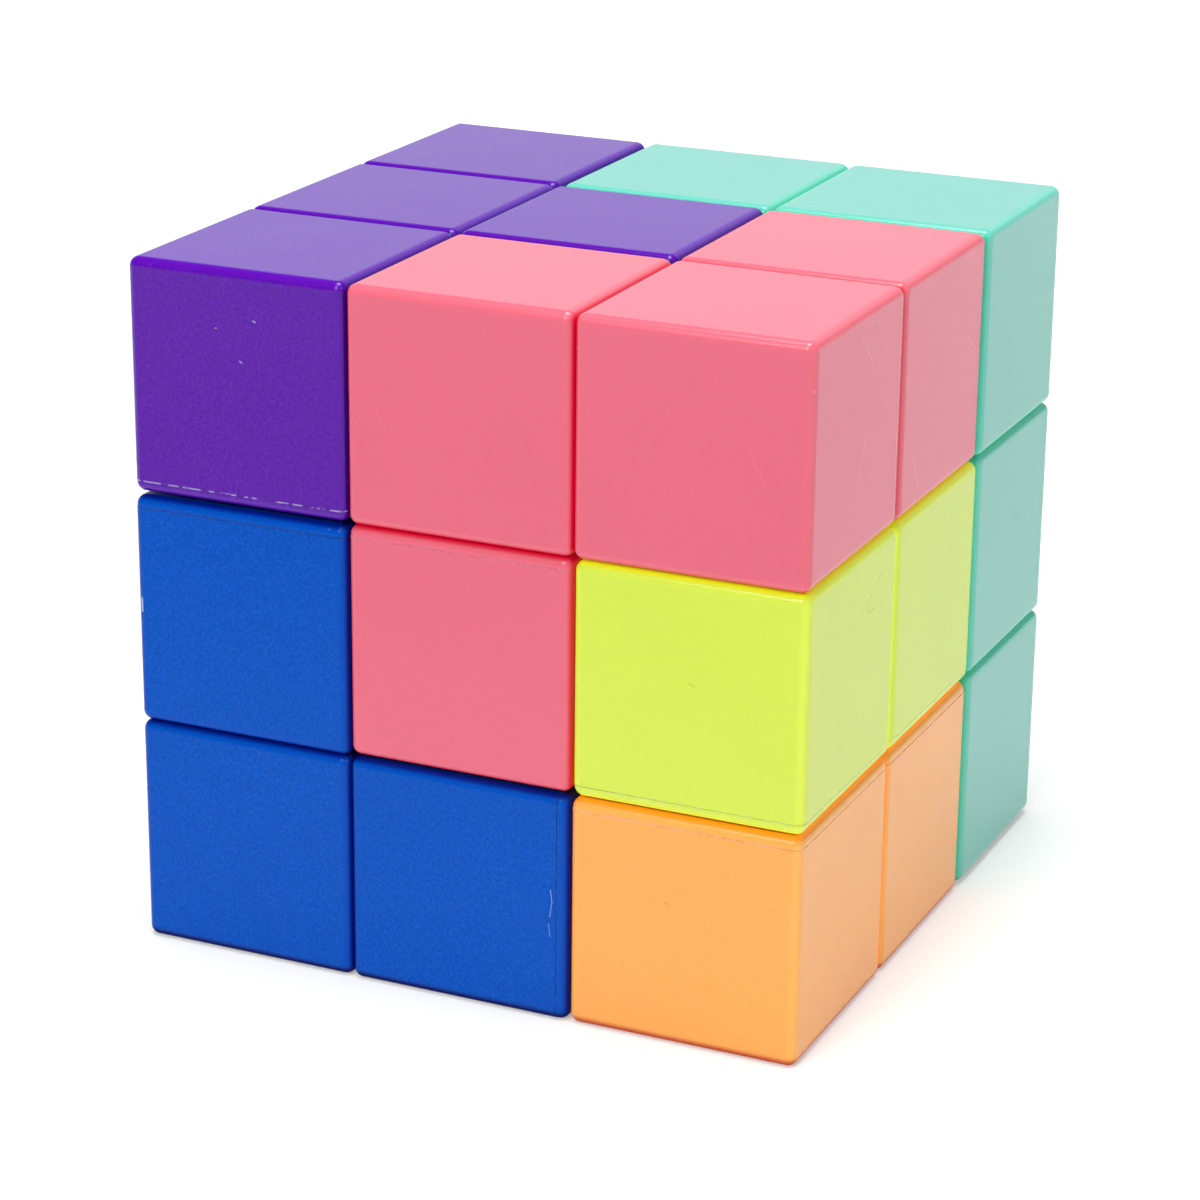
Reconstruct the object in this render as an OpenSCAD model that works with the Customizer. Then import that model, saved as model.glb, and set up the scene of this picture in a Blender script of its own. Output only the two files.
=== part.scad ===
// Magnetic 3 x 3 x 3 assembly puzzle. Seven pieces, each a cluster of hollow glued
// cubelets with ball magnets behind their faces, build one closed cube.

/* [Cubelets] */
// Edge length of one cubelet
cubelet = 19.9; // [16:0.1:30]
// Clearance between two pieces that meet
play = 0.1; // [0.05:0.05:0.2]
// Radius of every outer edge and corner
edge_r = 0.85; // [0.5:0.05:0.9]
// Thickness of the moulded walls
wall = 1.2; // [1:0.1:2]

/* [Lids] */
// Distance of the weld line from the face that the lid closes
weld_line = 1; // [1:0.05:1.5]
// Width of the weld line
weld_gap = 0.05; // [0.02:0.01:0.1]
// Depth that the lid's rim reaches into its shell
rim_depth = 1.2; // [0.8:0.1:2]
// Thickness of the lid's rim
rim_t = 0.8; // [0.6:0.1:1.2]
// Clearance around the lid's rim
rim_play = 0.05; // [0.03:0.01:0.1]
// Distance that a lid's edges stay behind those of its shell
lid_inset = 0.02; // [0.01:0.01:0.05]

/* [Magnets] */
// Diameter of a ball magnet
ball_d = 5; // [3:0.5:5]
// Clearance of a ball magnet in its cup, on the diameter
cup_play = 0.4; // [0.2:0.1:0.5]
// Wall thickness of a magnet cup
cup_t = 1; // [0.8:0.1:1.2]
// Clearance of the magnet core against the walls at each end
core_play = 0.05; // [0.03:0.01:0.2]

/* [Hidden] */
$fn = 64;

// Sides of a cubelet
LEFT = [-1, 0, 0];
RIGHT = [1, 0, 0];
FRONT = [0, -1, 0];
BACK = [0, 1, 0];
DOWN = [0, 0, -1];
UP = [0, 0, 1];
SIDES = [LEFT, RIGHT, FRONT, BACK, DOWN, UP];

// Each piece has a name, a colour, the number of plays that it stands away from the
// cube's left, front and lower face, and its cubelets: [grid cell, side of the lid].
PIECES = [
    ["purple", "indigo", [0, 1, 3], [
        [[0, 0, 2], DOWN],
        [[0, 1, 2], DOWN],
        [[0, 2, 2], DOWN],
        [[1, 1, 2], DOWN],
    ]],
    ["pink", "lightcoral", [1, 0, 3], [
        [[1, 0, 1], UP],
        [[1, 0, 2], BACK],
        [[2, 0, 2], BACK],
        [[2, 1, 2], BACK],
    ]],
    ["mint", "aquamarine", [3, 2, 3], [
        [[1, 2, 2], BACK],
        [[2, 2, 2], BACK],
        [[2, 2, 1], BACK],
        [[2, 2, 0], BACK],
    ]],
    ["yellow", "khaki", [2, 1, 2], [
        [[2, 0, 1], DOWN],
        [[2, 1, 1], DOWN],
        [[1, 1, 1], DOWN],
        [[1, 2, 1], DOWN],
    ]],
    ["orange", "sandybrown", [1, 1, 0], [
        [[2, 0, 0], UP],
        [[2, 1, 0], UP],
        [[1, 1, 0], UP],
    ]],
    ["blue", "royalblue", [0, 0, 0], [
        [[0, 0, 1], UP],
        [[0, 0, 0], FRONT],
        [[1, 0, 0], RIGHT],
        [[0, 1, 0], BACK],
    ]],
    ["red", "firebrick", [0, 2, 1], [
        [[0, 1, 1], FRONT],
        [[0, 2, 1], UP],
        [[0, 2, 0], DOWN],
        [[1, 2, 0], RIGHT],
    ]],
];

function name(piece) = piece[0];
function colour(piece) = piece[1];
function plays(piece) = piece[2];
function cubelets(piece) = piece[3];
function cell(part) = part[0];
function lid_side(part) = part[1];
function indices(list) = [0:len(list) - 1];

// Names of the nodes: one for each shell, and three groups for each piece
function shell_node(piece, i) = str(name(piece), "_shell_", i + 1);
function lids_node(piece) = str(name(piece), "_lids");
function cores_node(piece) = str(name(piece), "_magnet_cores");
function magnets_node(piece) = str(name(piece), "_magnets");

// Size of the whole cube, and the centre of its lower face
grid = 3;
cube_size = [
    for (axis = [0:2]) grid * cubelet + play * max([for (piece = PIECES) plays(piece)[axis]])
];
base_centre = [cube_size.x / 2, cube_size.y / 2, 0];

// Centre of a cubelet
function centre(piece, part) =
    (cell(part) + [0.5, 0.5, 0.5]) * cubelet + plays(piece) * play - base_centre;

// True where the cubelet's side isn't glued to another cubelet of its own piece
function is_free(piece, part, side) =
    len([for (other = cubelets(piece)) if (cell(other) == cell(part) + side) 1]) == 0;

half = cubelet / 2;
cavity = cubelet - 2 * wall;
weld_z = half - weld_line;
rim = cavity - 2 * rim_play;
cup_d = ball_d + cup_play;
arm_d = cup_d + 2 * cup_t;
arm_end = half - wall - core_play;
// The ball rests against the wall, with the cup's floor just behind it
ball_z = half - wall - core_play - ball_d / 2;
cup_floor = ball_z - cup_d / 2;

// Turns what points up towards one of the six sides
module facing(side) {
    rotate([0, acos(side.z), atan2(side.y, side.x)]) children();
}

// Solid cube with rounded edges and corners
module rounded_cube(size) {
    flat = size - 2 * edge_r;
    cube([size, flat, flat], center = true);
    cube([flat, size, flat], center = true);
    cube([flat, flat, size], center = true);
    for (along = [UP, RIGHT, BACK], u = [-1, 1], v = [-1, 1])
        facing(along)
            translate([u * flat / 2, v * flat / 2, 0])
                cylinder(r = edge_r, h = flat, center = true);
    for (u = [-1, 1], v = [-1, 1], w = [-1, 1])
        translate([u, v, w] * flat / 2) sphere(r = edge_r);
}

// Everything above a height
module above(z) {
    translate([-cubelet, -cubelet, z]) cube(2 * cubelet);
}

// Hollow cubelet with five walls, open at the top
module shell() {
    difference() {
        rounded_cube(cubelet);
        translate([-cavity, -cavity, -cavity] / 2) cube([cavity, cavity, cubelet]);
        above(weld_z);
    }
}

// Lid with a rim that locates it inside the shell
module lid() {
    difference() {
        union() {
            intersection() {
                translate([0, 0, lid_inset]) rounded_cube(cubelet - 2 * lid_inset);
                above(weld_z + weld_gap);
            }
            translate([-rim / 2, -rim / 2, weld_z - rim_depth])
                cube([rim, rim, rim_depth + weld_gap + edge_r / 2]);
        }
        translate([-rim / 2 + rim_t, -rim / 2 + rim_t, half - wall - cavity])
            cube([rim - 2 * rim_t, rim - 2 * rim_t, cavity]);
    }
}

// Six arms that hold a cup behind each side of the cubelet
module magnet_core() {
    difference() {
        for (along = [UP, RIGHT, BACK])
            facing(along) cylinder(d = arm_d, h = 2 * arm_end, center = true);
        for (side = SIDES)
            facing(side) translate([0, 0, cup_floor]) cylinder(d = cup_d, h = cubelet);
    }
}

module magnet(side) {
    facing(side) translate([0, 0, ball_z]) sphere(d = ball_d);
}

// One coloured shell of a piece
module piece_shell(piece, part) {
    color(colour(piece)) translate(centre(piece, part)) facing(lid_side(part)) shell();
}

// All lids of a piece
module piece_lids(piece) {
    color(colour(piece))
        for (part = cubelets(piece))
            translate(centre(piece, part)) facing(lid_side(part)) lid();
}

// All magnet cores of a piece
module piece_cores(piece) {
    color("whitesmoke")
        for (part = cubelets(piece))
            translate(centre(piece, part)) magnet_core();
}

// The ball magnets of a piece, one behind each free side
module piece_magnets(piece) {
    color("silver")
        for (part = cubelets(piece), side = SIDES)
            if (is_free(piece, part, side))
                translate(centre(piece, part)) magnet(side);
}

for (piece = PIECES) {
    for (i = indices(cubelets(piece)))
        piece_shell(piece, cubelets(piece)[i]);
    piece_lids(piece);
    piece_cores(piece);
    piece_magnets(piece);
}
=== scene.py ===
"""Looks of the magnetic assembly cube: moulded shells, welded lids and the parts inside them."""

import math
import random

import bpy
from mathutils import Euler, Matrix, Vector


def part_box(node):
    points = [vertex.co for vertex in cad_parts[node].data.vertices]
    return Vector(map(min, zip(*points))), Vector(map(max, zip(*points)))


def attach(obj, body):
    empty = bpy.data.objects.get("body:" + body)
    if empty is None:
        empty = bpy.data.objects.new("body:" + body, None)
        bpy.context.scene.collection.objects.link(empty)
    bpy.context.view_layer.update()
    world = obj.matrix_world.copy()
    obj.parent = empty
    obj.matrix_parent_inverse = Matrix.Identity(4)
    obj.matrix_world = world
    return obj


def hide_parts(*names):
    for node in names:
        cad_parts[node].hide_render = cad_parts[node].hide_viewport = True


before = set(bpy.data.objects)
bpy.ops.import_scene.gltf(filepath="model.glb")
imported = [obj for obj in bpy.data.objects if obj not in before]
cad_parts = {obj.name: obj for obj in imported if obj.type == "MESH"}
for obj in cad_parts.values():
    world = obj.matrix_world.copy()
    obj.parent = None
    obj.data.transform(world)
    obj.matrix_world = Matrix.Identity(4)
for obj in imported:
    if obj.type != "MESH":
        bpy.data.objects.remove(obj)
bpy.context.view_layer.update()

MM = 0.001

# Sides of a cubelet
RIGHT = Vector((1, 0, 0))
BACK = Vector((0, 1, 0))
FRONT = Vector((0, -1, 0))
UP = Vector((0, 0, 1))
DOWN = Vector((0, 0, -1))

# Sizes of a cubelet that the frame gives
low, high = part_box("orange_shell_1")
CUBELET = high.x - low.x
WELD_LINE = CUBELET - (high.z - low.z)

# Sizes of the mouldings
HALF = CUBELET / 2
EDGE_RADIUS = 0.85 * MM
WALL = 1.2 * MM
WELD_GAP = 0.006 * MM
WELD_EDGE = 0.012 * MM
LID_INSET = 0.02 * MM
RIM_DEPTH = 1.2 * MM
RIM_WIDTH = 0.8 * MM
RIM_PLAY = 0.05 * MM
SUPPORT = 0.12 * MM

# How finely the round edges and the weld's small edges are cut, and the angle between two
# faces from which an edge stays sharp
EDGE_STEPS = 14
WELD_STEPS = 3
SHARP_ANGLE = math.radians(32)

# How far lids are out of place after welding
LID_SHIFT = 0.010 * MM
LID_PROUD = 0.008 * MM
LID_TILT = math.radians(0.05)

# Sizes in the plastic's colour: its clouds and grain, the specks that become dust or nicks,
# the scratches, the weld line with its dashes of dried solvent, and the strip of painted shade at
# the foot
CLOUD_SIZE = 10 * MM
GRAIN_SIZE = 0.26 * MM
SPECK_SPACING = 2.1 * MM
SCRATCH_SPACING = 6.5 * MM
SCRATCH_HALF_WIDTH = 0.03 * MM
SCRATCH_SHARE = 0.10
SEAM_HALF_WIDTH = 0.09 * MM
DASH_SIZE = 0.5 * MM
# Height of the strip along the table where shade is painted into the colour
PAINTED_SHADE_HEIGHT = 1.0 * MM

# Shifts of the scratches from face to face, so that no two faces have the same ones
SIDE_SHIFT = 137 * MM
UPWARD_SHIFT = 291 * MM
LAYER_SHIFT = 71.3 * MM

# Its relief: orange peel, waves as wide as the clouds, and sinks over the magnet arms
PEEL_SIZE = 1.5 * MM
PEEL_DEPTH = 0.0015 * MM
WAVE_DEPTH = 0.02 * MM
SINK_WIDTH = 1.6 * MM
SINK_DEPTH = 0.012 * MM

# How much each kind of wear pales the plastic
PALENESS = {"dust": 0.5, "scratch": 0.03, "nick": 0.25}

# Roughness of the glossiest spot, and what everything on the surface adds to it
GLOSSIEST = 0.14
ROUGHENING = {
    "cloud": 0.07,
    "grain": 0.06,
    "dust": 0.4,
    "scratch": 0.2,
    "weld": 0.2,
    "nick": 0.3,
    # Rougher along the strip of painted shade at the foot
    "foot": 0.6,
}

# Each piece: the colour of its plastic, the tone painted on its round edges for how light
# through the plastic colours them, the deeper one painted as shade down in its grooves, how
# much painted glow there stands in for light coming through the plastic, how strong the fine
# speckle in it is, how strongly its faces mirror, how pale its welds dried, how much soil they
# hold, and the side of each cubelet's lid in the order of its shells
PIECES = {
    "purple": {
        "plastic": (85, 4, 159),
        "edge": (88, 6, 166),
        "painted_groove_shade_and_glow": (58, 0, 140),
        "painted_glow_strength": 0.0,
        "speckle": 1.6,
        "mirror": 0.32,
        "weld": 0.75,
        "soil": 0.06,
        "lids": [DOWN, DOWN, DOWN, DOWN],
    },
    "pink": {
        "plastic": (224, 98, 121),
        "edge": (230, 102, 118),
        "painted_groove_shade_and_glow": (206, 8, 52),
        "painted_glow_strength": 0.16,
        "speckle": 0.22,
        "mirror": 0.5,
        "weld": 0.18,
        "soil": 0.0,
        "lids": [UP, BACK, BACK, BACK],
    },
    "mint": {
        "plastic": (101, 189, 175),
        "edge": (104, 208, 186),
        "painted_groove_shade_and_glow": (52, 186, 150),
        "painted_glow_strength": 0.2,
        "speckle": 0.14,
        "mirror": 0.5,
        "weld": 0.10,
        "soil": 0.0,
        "lids": [BACK, BACK, BACK, BACK],
    },
    "yellow": {
        "plastic": (206, 227, 69),
        "edge": (222, 242, 76),
        "painted_groove_shade_and_glow": (216, 236, 24),
        "painted_glow_strength": 0.3,
        "speckle": 0.15,
        "mirror": 0.5,
        "weld": 0.35,
        "soil": 0.16,
        "lids": [DOWN, DOWN, DOWN, DOWN],
    },
    "orange": {
        "plastic": (249, 166, 75),
        "edge": (255, 180, 82),
        "painted_groove_shade_and_glow": (255, 140, 24),
        "painted_glow_strength": 0.28,
        "speckle": 0.12,
        "mirror": 0.5,
        "weld": 0.40,
        "soil": 0.02,
        "lids": [UP, UP, UP],
    },
    "blue": {
        "plastic": (0, 79, 182),
        "edge": (0, 72, 180),
        "painted_groove_shade_and_glow": (0, 30, 140),
        "painted_glow_strength": 0.0,
        "speckle": 1.3,
        "mirror": 0.1,
        "weld": 0.03,
        "soil": 0.25,
        "lids": [UP, FRONT, RIGHT, BACK],
    },
    "red": {
        "plastic": (196, 24, 34),
        "edge": (200, 34, 42),
        "painted_groove_shade_and_glow": (150, 0, 16),
        "painted_glow_strength": 0.08,
        "speckle": 0.3,
        "mirror": 0.5,
        "weld": 0.2,
        "soil": 0.04,
        "lids": [FRONT, UP, DOWN, RIGHT],
    },
}

# Single marks from handling, in millimetres: the outer side that has them, the start and end
# of each stroke across and up that side, its half width, and how pale or (below 0) dark it is
MARKS = {
    "purple": [
        (FRONT, (-21.8, 55.0), (-21.7, 55.0), 0.07, 0.45),
        (FRONT, (-18.3, 56.0), (-18.1, 55.9), 0.08, 0.6),
        (FRONT, (-19.6, 52.5), (-19.4, 52.4), 0.07, 0.6),
    ],
    "pink": [(RIGHT, (-17.0, 58.2), (-16.8, 58.1), 0.16, -0.25)],
    "mint": [],
    "yellow": [
        (RIGHT, (-13.8, 37.1), (-14.4, 36.7), 0.07, -0.45),
        (RIGHT, (-14.7, 36.6), (-15.6, 36.1), 0.05, -0.35),
        (RIGHT, (-15.9, 35.9), (-17.0, 35.4), 0.06, -0.45),
        (RIGHT, (-17.0, 35.4), (-16.6, 34.6), 0.05, -0.35),
        (RIGHT, (-16.6, 34.6), (-15.2, 34.5), 0.06, -0.40),
        (FRONT, (20.1, 31.4), (20.5, 31.2), 0.14, -0.20),
    ],
    "orange": [(FRONT, (18.4, 12.4), (18.6, 12.3), 0.15, -0.25)],
    "blue": [
        (FRONT, (-29.5, 30.8), (-29.5, 29.7), 0.16, 0.75),
        (FRONT, (8.30, 11.6), (8.45, 10.6), 0.05, 0.55),
        (FRONT, (8.45, 10.6), (8.25, 9.2), 0.05, 0.45),
        (FRONT, (8.15, 8.6), (8.30, 7.5), 0.05, 0.35),
    ],
    "red": [(BACK, (-16.0, 34.0), (-12.5, 35.2), 0.05, 0.35)],
}

# Tones of the magnet cores and of the nickel, the paler one first
NATURAL_TONES = ((238, 232, 214), (214, 204, 178))
NICKEL_TONES = ((214, 208, 198), (176, 170, 160))

# The camera: its lens in millimetres, the point that it looks at, and where it stands, with
# its angles in degrees
LENS = 107.1
CAMERA_AIM = Vector((2.53, -7.96, 28.69)) * MM
CAMERA_PLACE = {"distance": 0.305, "azimuth": 24.23, "elevation": 19.40, "roll": 0.64}

# Each light: its power in watts, its diameter, its distance from the middle of the cube, and
# its azimuth and elevation in degrees
LIGHT_AIM = Vector((0, 0, 30)) * MM
LIGHTS = {
    "top_softbox": (3.6, 0.36, 0.6, 0, 89),
    "front_softbox": (1.84, 0.30, 0.6, -4, 42),
    "spark": (0.26, 0.05, 0.6, 66, 41),
}

# Brightness of the room, of the backdrop, of the horizon all round and of the right wall
ROOM = 0.05
BACKDROP = 0.82
HORIZON = 0.78
WALL_LIGHT = 0.17

# The floor: its reach, the two tones of its paper, the tone in front, how much light it gives
# by the cube, and how much more it gives far off
FLOOR_REACH = 4.0
PAPER_TONES = (0.70, 0.67)
FRONT_TONE = 0.3
FLOOR_GLOW = 0.34
FAR_GLOW = 0.55


# ---------------------------------------------------------------- node trees


class Wire:
    """An output socket. Arithmetic on it adds Math nodes to its tree."""

    def __init__(self, tree, socket):
        self.tree = tree
        self.socket = socket

    def math(self, operation, *others):
        return self.tree.node("ShaderNodeMath", {"operation": operation}, [self, *others])

    def __add__(self, other):
        return self.math("ADD", other)

    __radd__ = __add__

    def __mul__(self, other):
        return self.math("MULTIPLY", other)

    __rmul__ = __mul__

    def __sub__(self, other):
        return self.math("SUBTRACT", other)

    def __rsub__(self, other):
        return self.tree.node("ShaderNodeMath", {"operation": "SUBTRACT"}, [other, self])

    def __truediv__(self, other):
        return self.math("DIVIDE", other)

    def __rtruediv__(self, other):
        return self.tree.node("ShaderNodeMath", {"operation": "DIVIDE"}, [other, self])

    def __abs__(self):
        return self.math("ABSOLUTE")

    def smooth(self, low, high):
        """0 below low and 1 above high, with a smooth rise between them."""
        return self.tree.node(
            "ShaderNodeMapRange",
            {"interpolation_type": "SMOOTHSTEP"},
            {"Value": self, "From Min": low, "From Max": high},
        )

    def output(self, name):
        """Another output of the same node."""
        return Wire(self.tree, find(self.socket.node.outputs, name))


def find(sockets, key):
    """The socket with that number or name, out of those in use."""
    used = [s for s in sockets if s.enabled]
    if isinstance(key, int):
        return used[key]
    return next(s for s in used if s.name == key)


class Tree:
    """A node tree, built up from nodes and expressions."""

    def __init__(self, tree):
        self.tree = tree

    def node(self, kind, settings=None, inputs=(), output=0):
        """Adds a node: its settings first, then the values or links of its sockets."""
        made = self.tree.nodes.new(kind)
        for name, value in (settings or {}).items():
            setattr(made, name, value)
        pairs = inputs.items() if isinstance(inputs, dict) else enumerate(inputs)
        for key, value in pairs:
            self.feed(find(made.inputs, key), value)
        return Wire(self, find(made.outputs, output)) if made.outputs else None

    def feed(self, socket, value):
        if isinstance(value, Wire):
            self.tree.links.new(value.socket, socket)
        else:
            socket.default_value = value

    def mix(self, first, second, factor):
        """One colour turning into another."""
        return self.node(
            "ShaderNodeMix", {"data_type": "RGBA"}, {"Factor": factor, "A": first, "B": second}
        )

    def xyz(self, vector):
        """The three parts of a vector."""
        x = self.node("ShaderNodeSeparateXYZ", None, [vector])
        return x, x.output("Y"), x.output("Z")


# ---------------------------------------------------------------- materials


def linear(colour):
    """A colour of 0 to 255 as the linear colour that shaders use."""
    parts = [c / 255 for c in colour]
    return tuple(c / 12.92 if c <= 0.04045 else ((c + 0.055) / 1.055) ** 2.4 for c in parts) + (1,)


def new_material(name):
    """A material with a lone shader, and its tree."""
    material = bpy.data.materials.new(name)
    material.use_nodes = True
    tree = Tree(material.node_tree)
    return material, tree, material.node_tree.nodes["Principled BSDF"]


def grain(tree, place, size, detail=2.0, roughness=0.5):
    """Noise from 0 to 1 whose blotches are about size wide."""
    inputs = {"Vector": place, "Scale": 1 / size, "Detail": detail, "Roughness": roughness}
    return tree.node("ShaderNodeTexNoise", None, inputs)


def specks(tree, place, spacing):
    """Distance to the middle of the nearest speck, and two random numbers of that speck."""
    cells = tree.node("ShaderNodeTexVoronoi", None, {"Vector": place, "Scale": 1 / spacing})
    first, second, _ = tree.xyz(cells.output("Color"))
    return cells * spacing, first, second


def on_faces(tree, place, turned):
    """Place across and up the face of the cubelet that a point is on, other for each face."""
    x, y, z = tree.xyz(place)
    side_x, side_y, side_z = (abs(part) for part in tree.xyz(turned))
    on_x = side_x.math("GREATER_THAN", side_y.math("MAXIMUM", side_z))
    on_z = side_z.math("GREATER_THAN", side_x.math("MAXIMUM", side_y))
    out = x * on_x + z * on_z + y * (1 - on_x - on_z)
    layer = (out / HALF).math("ROUND")
    across = x + (y - x) * on_x
    upwards = z + (y - z) * on_z
    across = across + on_x * SIDE_SHIFT + layer * LAYER_SHIFT
    return across, upwards + on_z * UPWARD_SHIFT


def hairlines(tree, across, upwards, length, half_width, share):
    """1 on straight scratches that lie at any angle, one in a share of the cells of a pattern."""
    along_x = across / length
    along_y = upwards / length
    where = tree.node("ShaderNodeCombineXYZ", None, [along_x, along_y])
    settings = {"voronoi_dimensions": "2D"}
    cell = tree.node("ShaderNodeTexVoronoi", settings, {"Vector": where, "Scale": 1.0})
    middle_x, middle_y, _ = tree.xyz(cell.output("Position"))
    chance, angle, _ = tree.xyz(cell.output("Color"))
    cosine = (angle * math.pi).math("COSINE")
    sine = (angle * math.pi).math("SINE")
    off_x = along_x - middle_x
    off_y = along_y - middle_y
    reach = abs(off_x * cosine + off_y * sine)
    off = abs(off_y * cosine - off_x * sine) * length
    chosen = chance.math("GREATER_THAN", 1 - share)
    return (1 - off.smooth(half_width * 0.3, half_width)) * (1 - reach.smooth(0.1, 0.4)) * chosen


def painted_groove_shade_and_glow_mask(tree, own, turned):
    """1 low down on round edges whose other side lies inside the cube, where shade and glow are
    painted into the plastic.

    The cube's outer faces are one and a half cubelets from its middle, so a face that is
    nearer than that is inside.
    """
    middle = (0.0, 0.0, 1.5 * CUBELET)
    flat = HALF - EDGE_RADIUS
    total = 0.0
    for part, out, centre in zip(tree.xyz(turned), tree.xyz(own), middle):
        inside = 1 - abs(out - centre).smooth(1.40 * CUBELET, 1.42 * CUBELET)
        low = abs(part).smooth(flat + 0.45 * EDGE_RADIUS, flat + 0.92 * EDGE_RADIUS)
        total = inside * low + total
    return total.math("MINIMUM", 1.0)


def stroke(tree, place, side, start, end, half_width):
    """1 on a straight stroke across one outer side of the cube."""
    x, y, z = tree.xyz(place)
    out = {tuple(RIGHT): x, tuple(BACK): y, tuple(FRONT): y * -1.0}[tuple(side)]
    across = x if side.x == 0 else y
    run = (Vector(end) - Vector(start)) * MM
    from_x = across - start[0] * MM
    from_z = z - start[1] * MM
    step = (from_x * run.x + from_z * run.y) / run.length_squared
    step = step.math("MAXIMUM", 0.0).math("MINIMUM", 1.0)
    off_x = from_x - step * run.x
    off_z = from_z - step * run.y
    off = (off_x * off_x + off_z * off_z).math("SQRT")
    outermost = out.smooth(1.48 * CUBELET, 1.49 * CUBELET)
    return (1 - off.smooth(half_width * 0.4 * MM, half_width * MM)) * outermost


def changed(colour, rule):
    """A colour with a rule applied to each of its three parts."""
    return tuple(rule(part) for part in colour[:3]) + (1,)


def round_edges(tree, local):
    """How far round an edge a point is, from the flat face to the crest, and 1 on all of it."""
    x, y, z = (abs(part) for part in tree.xyz(local))
    flat = HALF - EDGE_RADIUS
    crest = flat + EDGE_RADIUS * math.sqrt(0.5)
    lowest = x.math("MINIMUM", y).math("MINIMUM", z)
    middle = x + y + z - lowest - x.math("MAXIMUM", y).math("MAXIMUM", z)
    edge = middle.smooth(flat - 0.1 * MM, crest)
    return edge, middle.smooth(flat - 0.02 * MM, flat + 0.12 * MM)


def weld_seam(tree, local, place):
    """1 along the hair-fine step of the weld, and 1 in short dashes where its solvent dried."""
    height = tree.xyz(local)[2]
    off = abs(height - (HALF - WELD_LINE + WELD_GAP / 2))
    seam = 1 - off.smooth(0.02 * MM, SEAM_HALF_WIDTH)
    return seam, seam * grain(tree, place, DASH_SIZE, 0).smooth(0.40, 0.55)


def wear(tree, place, turned, edge):
    """Masks of the dust, of the scratches and of the nicks along the edges."""
    off, chance, other_chance = specks(tree, place, SPECK_SPACING)
    dust = (1 - off.smooth(0.03 * MM, 0.08 * MM)) * chance.math("GREATER_THAN", 0.93)
    nicks = (1 - off.smooth(0.06 * MM, 0.17 * MM)) * edge.smooth(0.3, 0.9)
    nicks = nicks * other_chance.math("GREATER_THAN", 0.8)
    across, upwards = on_faces(tree, place, turned)
    lines = hairlines(
        tree, across, upwards, SCRATCH_SPACING, SCRATCH_HALF_WIDTH, SCRATCH_SHARE
    )
    return {"dust": dust, "scratch": lines, "nick": nicks}


def relief(tree, local, place, cloud):
    """Orange peel, slow waves, and a shallow sink over the end of each magnet arm."""
    away = tree.node("ShaderNodeVectorMath", {"operation": "LENGTH"}, [local], "Value")
    sink = away.smooth(HALF, HALF + SINK_WIDTH)
    peel = grain(tree, place, PEEL_SIZE, 1.5)
    height = peel * PEEL_DEPTH + cloud * WAVE_DEPTH + sink * SINK_DEPTH
    return tree.node("ShaderNodeBump", None, {"Distance": 1.0, "Height": height})


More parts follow.
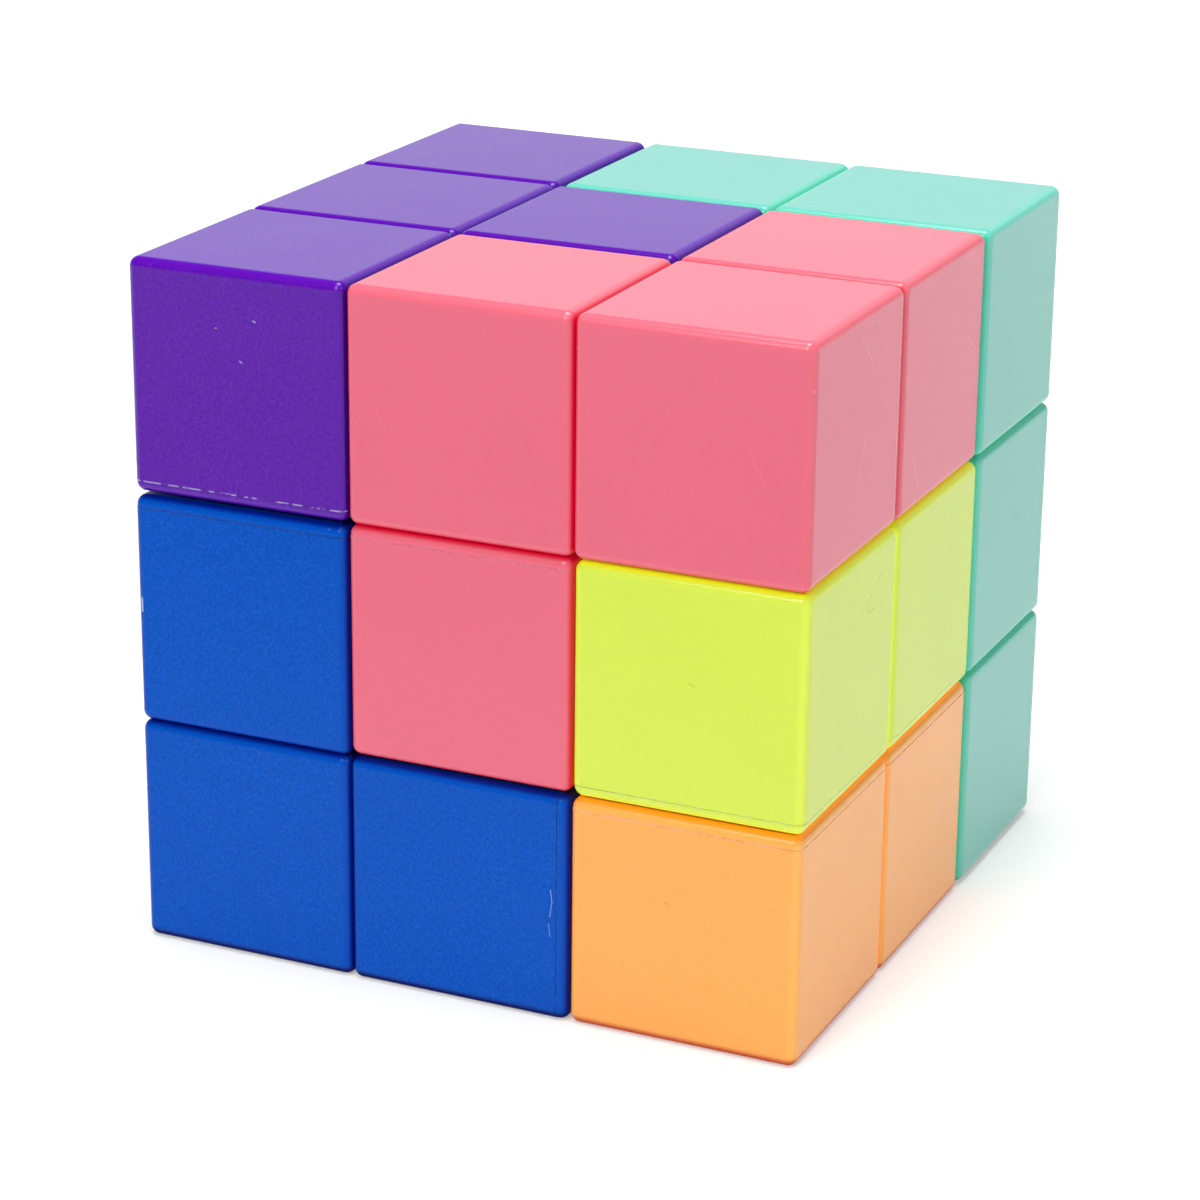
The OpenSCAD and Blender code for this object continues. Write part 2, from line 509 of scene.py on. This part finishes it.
def moulded_plastic(name, facts, marks, seed):
    """Glossy ABS: clouds and speckle, painted shade and glow in the grooves, a painted tone on
    round edges, painted shade along the foot, a weld line, wear and single marks.
    """
    material, tree, shader = new_material(name)
    own = tree.node("ShaderNodeTexCoord", output="Object")
    place = tree.node("ShaderNodeMapping", None, {"Vector": own, "Location": (seed, 0, 0)})
    local = tree.node("ShaderNodeAttribute", {"attribute_name": "cubelet_place"}, output="Vector")
    turned = tree.node("ShaderNodeAttribute", {"attribute_name": "cubelet_side"}, output="Vector")

    cloud = grain(tree, place, CLOUD_SIZE, 1)
    fine = grain(tree, place, GRAIN_SIZE, 1, 0.6)
    edge, round_part = round_edges(tree, local)
    # Where shade and glow are painted into the grooves between cubelets
    painted_groove_shade_and_glow = painted_groove_shade_and_glow_mask(tree, own, turned) * round_part
    # Painted shade: the lowest millimetre is darkened as if in shade by the table
    foot = 1 - tree.xyz(own)[2].smooth(0.35 * PAINTED_SHADE_HEIGHT, PAINTED_SHADE_HEIGHT)
    weld, dashes = weld_seam(tree, local, place)
    worn = wear(tree, place, turned, edge)

    base = linear(facts["plastic"])
    dim = changed(base, lambda part: part * 0.5)
    light = changed(base, lambda part: min(part * 1.5 + 0.01, 1))
    # A deeper, darker copy of the plastic, painted where shade would fall
    painted_shade = changed(base, lambda part: part**2.4 * 0.6)
    dark = changed(base, lambda part: part * 0.25)
    pale = changed(base, lambda part: part + (1 - part) * 0.45)
    shade = (cloud - 0.5) * 0.10 + (fine - 0.5) * facts["speckle"]
    colour = tree.mix(dim, base, (shade + 1.0).math("MINIMUM", 1.0))
    colour = tree.mix(colour, light, shade.math("MAXIMUM", 0.0))
    # Painted light: round edges get a tone standing in for how light through the plastic colours
    # them
    colour = tree.mix(colour, linear(facts["edge"]), edge * 0.8)
    # Painted shade: the deeper colour down in the grooves
    colour = tree.mix(colour, linear(facts["painted_groove_shade_and_glow"]), painted_groove_shade_and_glow)
    # Painted shade along the foot
    colour = tree.mix(colour, painted_shade, foot)

    bright = dashes * facts["weld"]
    for kind, mask in worn.items():
        bright = bright + mask * PALENESS[kind]
    soil = weld * facts["soil"]
    for side, start, end, half_width, strength in marks:
        mark = stroke(tree, own, side, start, end, half_width)
        if strength > 0:
            bright = bright + mark * strength
        else:
            soil = soil + mark * -strength
    colour = tree.mix(colour, dark, soil.math("MINIMUM", 1.0))
    colour = tree.mix(colour, pale, bright.math("MINIMUM", 1.0))
    tree.feed(shader.inputs["Base Color"], colour)
    # Painted glow: the grooves give light as if it came through the plastic
    if facts["painted_glow_strength"]:
        glow = changed(linear(facts["painted_groove_shade_and_glow"]), lambda part: part * facts["painted_glow_strength"])
        tree.feed(shader.inputs["Emission Color"], tree.mix((0, 0, 0, 1), glow, painted_groove_shade_and_glow))
        shader.inputs["Emission Strength"].default_value = 1.0

    rough = GLOSSIEST
    masks = {"cloud": cloud, "grain": fine, "weld": weld, "foot": foot, **worn}
    for kind, mask in masks.items():
        rough = rough + mask * ROUGHENING[kind]
    tree.feed(shader.inputs["Roughness"], rough)
    tree.feed(shader.inputs["Normal"], relief(tree, local, place, cloud))
    shader.inputs["IOR"].default_value = 1.5
    shader.inputs["Specular IOR Level"].default_value = facts["mirror"]
    return material


def natural_plastic():
    """Uncoloured satin ABS of the magnet cores."""
    material, tree, shader = new_material("natural_plastic")
    place = tree.node("ShaderNodeTexCoord", output="Object")
    cloud = grain(tree, place, 6 * MM, 3)
    fine = grain(tree, place, 0.25 * MM, 3)
    pale, deep = (linear(tone) for tone in NATURAL_TONES)
    colour = tree.mix(pale, deep, cloud * 0.6 + fine * 0.3)
    tree.feed(shader.inputs["Base Color"], colour)
    tree.feed(shader.inputs["Roughness"], 0.38 + fine * 0.2)
    bump = tree.node("ShaderNodeBump", None, {"Distance": 1.0, "Height": fine * (0.004 * MM)})
    tree.feed(shader.inputs["Normal"], bump)
    return material


def nickel_plating():
    """Tumbled nickel plating of the ball magnets."""
    material, tree, shader = new_material("nickel_plating")
    place = tree.node("ShaderNodeTexCoord", output="Object")
    cloud = grain(tree, place, 1.5 * MM, 3)
    scuffs = grain(tree, place, 0.12 * MM, 3, 0.7)
    pale, deep = (linear(tone) for tone in NICKEL_TONES)
    colour = tree.mix(pale, deep, cloud.smooth(0.35, 0.75))
    tree.feed(shader.inputs["Base Color"], colour)
    tree.feed(shader.inputs["Roughness"], 0.12 + scuffs * 0.16 + cloud * 0.05)
    bump = tree.node("ShaderNodeBump", None, {"Distance": 1.0, "Height": scuffs * (0.0008 * MM)})
    tree.feed(shader.inputs["Normal"], bump)
    shader.inputs["Metallic"].default_value = 1.0
    return material


# ---------------------------------------------------------------- mouldings


def arc(centre, radius, start, end, steps):
    """Points of an arc in the section's plane, from start to end in degrees."""
    angles = [math.radians(start + (end - start) * i / steps) for i in range(steps + 1)]
    return [(centre[0] + radius * math.cos(a), centre[1] + radius * math.sin(a)) for a in angles]


def shell_section():
    """Half section of a shell, from the middle of its floor outside to the one inside."""
    flat = HALF - EDGE_RADIUS
    inside = HALF - WALL
    mouth = HALF - WELD_LINE
    points = [(0, -HALF), (flat - SUPPORT, -HALF)]
    points += arc((flat, -flat), EDGE_RADIUS, -90, 0, EDGE_STEPS)
    points += [(HALF, SUPPORT - flat), (HALF, mouth - WELD_EDGE - SUPPORT)]
    points += arc((HALF - WELD_EDGE, mouth - WELD_EDGE), WELD_EDGE, 0, 90, WELD_STEPS)
    points += [(inside, mouth), (inside, -inside), (0, -inside)]
    return points


def lid_section():
    """Half section of a lid, from the middle of its inner face to that of its outer face."""
    flat = HALF - EDGE_RADIUS
    rim_outer = HALF - WALL - RIM_PLAY
    rim_inner = rim_outer - RIM_WIDTH
    rim_foot = HALF - WELD_LINE - RIM_DEPTH
    seat = HALF - WELD_LINE + WELD_GAP
    outer = HALF - LID_INSET
    points = [(0, HALF - WALL), (rim_inner, HALF - WALL), (rim_inner, rim_foot)]
    points += [(rim_outer, rim_foot), (rim_outer, seat)]
    points += arc((outer - WELD_EDGE, seat + WELD_EDGE), WELD_EDGE, -90, 0, WELD_STEPS)
    points += arc((flat - LID_INSET, flat), EDGE_RADIUS, 0, 90, EDGE_STEPS)
    points += [(flat - LID_INSET - SUPPORT, HALF), (0, HALF)]
    return points


def moulding_tree():
    """Geometry Nodes that carry a half section round a square with rounded corners.

    A section point inside the square's flat part makes a sharp-cornered ring. One outside it
    makes a ring whose corners are rounded by what is left, so a round edge ends in a ball corner.
    """
    group = bpy.data.node_groups.new("swept_moulding", "GeometryNodeTree")
    sockets = {}
    for name, kind in [
        ("Geometry", "NodeSocketGeometry"),
        ("Flat Half", "NodeSocketFloat"),
        ("Corner Steps", "NodeSocketInt"),
        ("Support", "NodeSocketFloat"),
        ("Sharp Angle", "NodeSocketFloat"),
        ("Turn", "NodeSocketVector"),
        ("Centre", "NodeSocketVector"),
        ("Material", "NodeSocketMaterial"),
    ]:
        sockets[name] = group.interface.new_socket(name, in_out="INPUT", socket_type=kind)
    group.interface.new_socket("Geometry", in_out="OUTPUT", socket_type="NodeSocketGeometry")

    tree = Tree(group)
    given = tree.node("NodeGroupInput")
    flat = given.output("Flat Half")
    steps = given.output("Corner Steps")

    # Rows are the section's points, and columns go round: a quarter has its corner's arc and
    # one supporting point on each side of it
    section = given.output("Geometry")
    rows = tree.node("GeometryNodeAttributeDomainSize", None, [section], "Point Count")
    quarter = steps + 3
    ring = quarter * 4 + 1
    grid = tree.node("GeometryNodeMeshGrid", None, {"Vertices X": rows, "Vertices Y": ring})
    index = tree.node("GeometryNodeInputIndex")
    row = (index / ring + 1e-4).math("FLOOR")
    column = index - row * ring
    side = (column / quarter + 1e-4).math("FLOOR")
    step = column - side * quarter

    place = tree.node("GeometryNodeInputPosition")
    point = tree.node(
        "GeometryNodeSampleIndex",
        {"data_type": "FLOAT_VECTOR"},
        {"Geometry": section, "Value": place, "Index": row},
    )
    out, _, height = tree.xyz(point)
    half = out.math("MINIMUM", flat)
    radius = (out - flat).math("MAXIMUM", 0.0)
    angle = ((step - 1) / steps).math("MAXIMUM", 0.0).math("MINIMUM", 1.0) * (math.pi / 2)
    back_off = given.output("Support") * (half / flat)
    before = step.math("LESS_THAN", 0.5)
    after = step.math("GREATER_THAN", steps + 1.5)
    corner = tree.node(
        "ShaderNodeCombineXYZ",
        None,
        [
            half + radius * angle.math("COSINE") - back_off * after,
            half + radius * angle.math("SINE") - back_off * before,
            height,
        ],
    )
    turned = tree.node(
        "ShaderNodeVectorRotate",
        {"rotation_type": "Z_AXIS"},
        {"Vector": corner, "Angle": side * (math.pi / 2)},
    )
    body = tree.node("GeometryNodeSetPosition", None, {"Geometry": grid, "Position": turned})
    body = tree.node("GeometryNodeMergeByDistance", None, {"Geometry": body, "Distance": 1e-7})
    turn = tree.node("FunctionNodeEulerToRotation", None, [given.output("Turn")])
    turned_place = tree.node("FunctionNodeRotateVector", None, [place, turn])
    for attribute, value in (("cubelet_place", place), ("cubelet_side", turned_place)):
        body = tree.node(
            "GeometryNodeStoreNamedAttribute",
            {"data_type": "FLOAT_VECTOR", "domain": "POINT"},
            {"Geometry": body, "Name": attribute, "Value": value},
        )
    crease = tree.node("GeometryNodeInputMeshEdgeAngle").math(
        "GREATER_THAN", given.output("Sharp Angle")
    )
    body = tree.node(
        "GeometryNodeSetShadeSmooth",
        {"domain": "EDGE"},
        {"Geometry": body, "Selection": crease, "Shade Smooth": False},
    )
    body = tree.node(
        "GeometryNodeTransform",
        None,
        {"Geometry": body, "Rotation": turn, "Translation": given.output("Centre")},
    )
    body = tree.node("GeometryNodeRealizeInstances", None, [body])
    body = tree.node(
        "GeometryNodeSetMaterial", None, {"Geometry": body, "Material": given.output("Material")}
    )
    tree.node("NodeGroupOutput", None, [body])
    return group, {name: socket.identifier for name, socket in sockets.items()}


def section_object(name, points):
    """A hidden carrier whose vertices are the points of a section."""
    mesh = bpy.data.meshes.new(name)
    edges = [(i, i + 1) for i in range(len(points) - 1)]
    mesh.from_pydata([(out, 0, height) for out, height in points], edges, [])
    return bpy.data.objects.new(name, mesh)


def mould(name, points, flat, turn, centre, material):
    """One moulding as a finished mesh, made by the tree and then freed of it."""
    carrier = section_object(name + "_section", points)
    bpy.context.scene.collection.objects.link(carrier)
    modifier = carrier.modifiers.new("moulding", "NODES")
    modifier.node_group = MOULDING
    values = {
        "Flat Half": flat,
        "Corner Steps": EDGE_STEPS,
        "Support": SUPPORT,
        "Sharp Angle": SHARP_ANGLE,
        "Turn": turn.to_euler(),
        "Centre": centre,
        "Material": material,
    }
    for socket, value in values.items():
        modifier[SOCKETS[socket]] = value
    carrier.update_tag()
    depsgraph = bpy.context.evaluated_depsgraph_get()
    mesh = bpy.data.meshes.new_from_object(carrier.evaluated_get(depsgraph))
    mesh.name = name
    bpy.data.objects.remove(carrier)
    piece = bpy.data.objects.new(name, mesh)
    bpy.context.scene.collection.objects.link(piece)
    return piece


def facing(side):
    """The turn that takes what points up to one of the six sides."""
    return UP.rotation_difference(side) if side != DOWN else Euler((0, math.pi, 0)).to_quaternion()


def centre_of(node, side):
    """Centre of the whole cubelet whose shell is open towards a side."""
    lo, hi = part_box(node)
    return (lo + hi) / 2 + side * (WELD_LINE / 2)


def make_piece(colour, facts, seed):
    """The shells and lids of one piece, in place of its CAD nodes."""
    body = colour + "_piece"
    finish = colour + "_plastic"
    plastic = moulded_plastic(finish, facts, MARKS[colour], seed * 0.37)
    for number, side in enumerate(facts["lids"], start=1):
        node = f"{colour}_shell_{number}"
        centre = centre_of(node, side)
        turn = facing(side)
        flat = HALF - EDGE_RADIUS
        shell = mould(f"{node}_moulding", shell_section(), flat, turn, centre, plastic)
        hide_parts(node)
        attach(shell, body)

        chance = random.Random(seed * 10 + number)
        tilt = Euler([chance.uniform(-LID_TILT, LID_TILT) for _ in range(3)]).to_quaternion()
        shift = Vector([chance.uniform(-LID_SHIFT, LID_SHIFT) for _ in range(3)])
        place = centre + shift + side * LID_PROUD
        lid_flat = flat - LID_INSET
        lid = mould(f"{colour}_lid_{number}", lid_section(), lid_flat, turn @ tilt, place, plastic)
        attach(lid, body)
    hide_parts(colour + "_lids")
    for node, material in ((colour + "_magnet_cores", NATURAL), (colour + "_magnets", NICKEL)):
        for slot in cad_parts[node].material_slots:
            slot.material = material


# ---------------------------------------------------------------- studio


def aim(thing, towards, distance, azimuth, elevation, roll=0.0):
    """Puts a camera or light at a distance from a point, looking at it."""
    a, e = math.radians(azimuth), math.radians(elevation)
    away = Vector((math.sin(a) * math.cos(e), -math.cos(a) * math.cos(e), math.sin(e)))
    thing.location = towards + away * distance
    look = (-away).to_track_quat("-Z", "Y") @ Euler((0, 0, math.radians(roll))).to_quaternion()
    thing.rotation_euler = look.to_euler()
    bpy.context.scene.collection.objects.link(thing)


def make_camera():
    data = bpy.data.cameras.new("camera")
    data.sensor_width = 36
    data.lens = LENS
    data.clip_start = 0.01
    camera = bpy.data.objects.new("camera", data)
    aim(camera, CAMERA_AIM, **CAMERA_PLACE)
    bpy.context.scene.camera = camera


def make_light(name, power, size, distance, azimuth, elevation):
    data = bpy.data.lights.new(name, "AREA")
    data.shape = "DISK"
    data.energy = power
    data.size = size
    aim(bpy.data.objects.new(name, data), LIGHT_AIM, distance, azimuth, elevation)


def make_world():
    """A bright backdrop behind, a pale horizon all round, and a dim wall on the right."""
    world = bpy.data.worlds.new("studio")
    bpy.context.scene.world = world
    world.use_nodes = True
    tree = Tree(world.node_tree)
    way = tree.node("ShaderNodeTexCoord", output="Generated")
    across, along, up = tree.xyz(way)
    backdrop = along.smooth(0.0, 0.6) * (1 - up.smooth(0.4, 0.8))
    backdrop = backdrop * (1 - across.smooth(0.05, 0.45) * 0.8)
    horizon = 1 - up.smooth(0.08, 0.16)
    wall = across.smooth(0.2, 0.9)
    around = (backdrop * BACKDROP).math("MAXIMUM", horizon * HORIZON)
    background = world.node_tree.nodes["Background"]
    tree.feed(background.inputs["Strength"], ROOM + around + wall * WALL_LIGHT)
    background.inputs["Color"].default_value = (1, 1, 1, 1)


def grey(level):
    return (level, level, level, 1)


def white_paper():
    """Paper that glows towards the distance, and is less white where the front faces mirror it."""
    material, tree, shader = new_material("white_paper")
    place = tree.node("ShaderNodeTexCoord", output="Object")
    fibres = grain(tree, place, 0.8 * MM, 3)
    x, y, _ = tree.xyz(place)
    in_front = 1 - y.smooth(-0.15, -0.07)
    away = (x * x + y * y).math("SQRT")
    pale, deep = (grey(tone) for tone in PAPER_TONES)
    paper = tree.mix(pale, deep, fibres)
    paper = tree.mix(paper, grey(FRONT_TONE), in_front)
    tree.feed(shader.inputs["Base Color"], paper)
    glow = FLOOR_GLOW + away.smooth(0.12, 0.45) * FAR_GLOW
    tree.feed(shader.inputs["Emission Color"], tree.mix(grey(0), grey(1), glow))
    shader.inputs["Emission Strength"].default_value = 1.0
    shader.inputs["Roughness"].default_value = 0.9
    shader.inputs["Specular IOR Level"].default_value = 0.2
    return material


def make_floor():
    mesh = bpy.data.meshes.new("floor")
    corners = [(-1, -1), (1, -1), (1, 1), (-1, 1)]
    points = [(x * FLOOR_REACH, y * FLOOR_REACH, 0) for x, y in corners]
    mesh.from_pydata(points, [], [(0, 1, 2, 3)])
    mesh.materials.append(white_paper())
    floor = bpy.data.objects.new("floor", mesh)
    bpy.context.scene.collection.objects.link(floor)


MOULDING, SOCKETS = moulding_tree()
NATURAL = natural_plastic()
NICKEL = nickel_plating()

make_camera()
make_world()
make_floor()
for light, settings in LIGHTS.items():
    make_light(light, *settings)
bpy.context.scene.view_settings.view_transform = "Standard"

for seed, (colour, facts) in enumerate(PIECES.items()):
    make_piece(colour, facts, seed)
